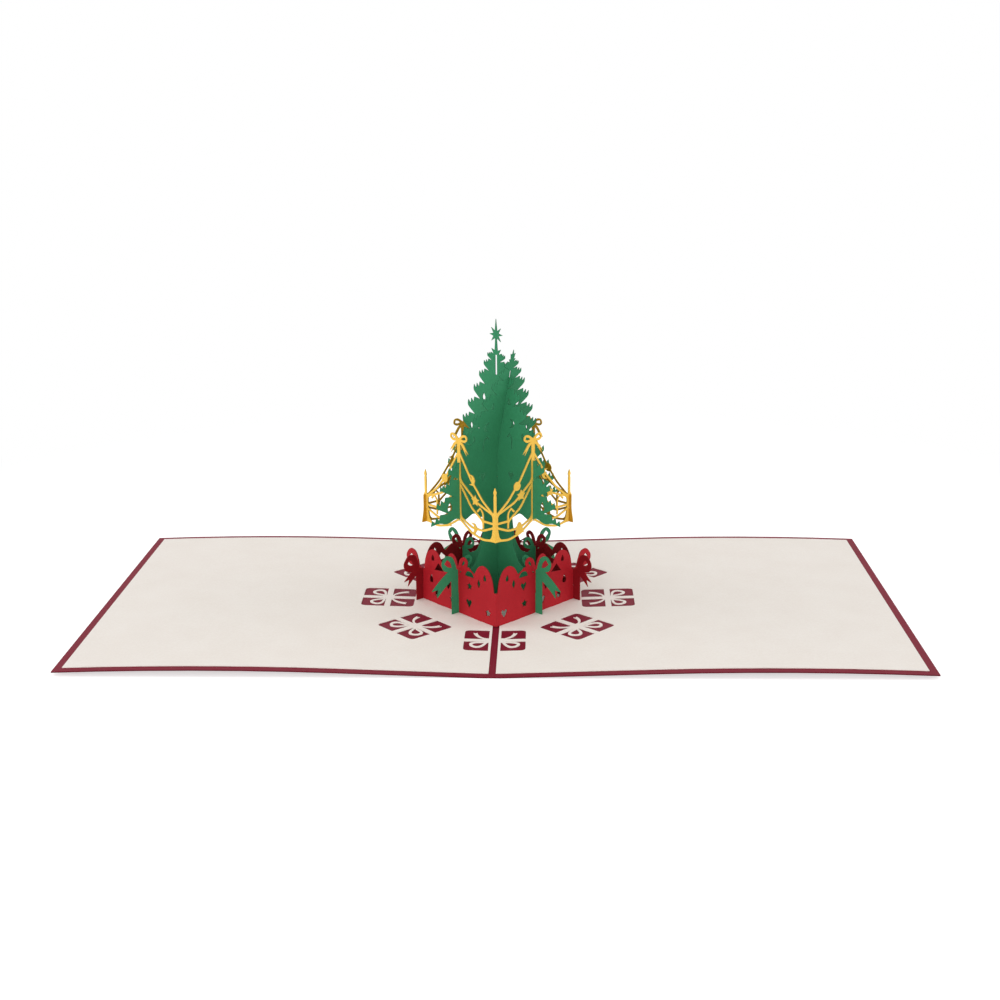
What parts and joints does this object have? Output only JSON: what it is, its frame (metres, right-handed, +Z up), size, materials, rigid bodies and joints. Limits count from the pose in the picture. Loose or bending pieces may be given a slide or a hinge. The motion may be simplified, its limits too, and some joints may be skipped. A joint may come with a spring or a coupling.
{
  "type": "pop-up card",
  "caption": "Square pop-up greeting card lying open, with a slotted paper tree and a garland ring standing in a gift box on its spine.",
  "frame": {"origin": "under the middle of the spine, on the plane that the open card lies on", "axes": "+X along the right page, +Y to the card's back edge, +Z up along the tree"},
  "size_m": [0.3, 0.15, 0.1097],
  "materials": {
    "burgundy_card": "matte",
    "ivory_paper": "matte",
    "green_paper": "matte",
    "gold_paper": "satin",
    "red_paper": "satin"
  },
  "bodies": {
    "root": {"cover": "burgundy_card", "left_liner": "ivory_paper", "right_liner": "ivory_paper", "star_tree": "green_paper", "spire_tree": "green_paper", "front_garland": "gold_paper", "back_garland": "gold_paper", "front_box": "red_paper", "back_box": "red_paper"}
  },
  "joints": []
}
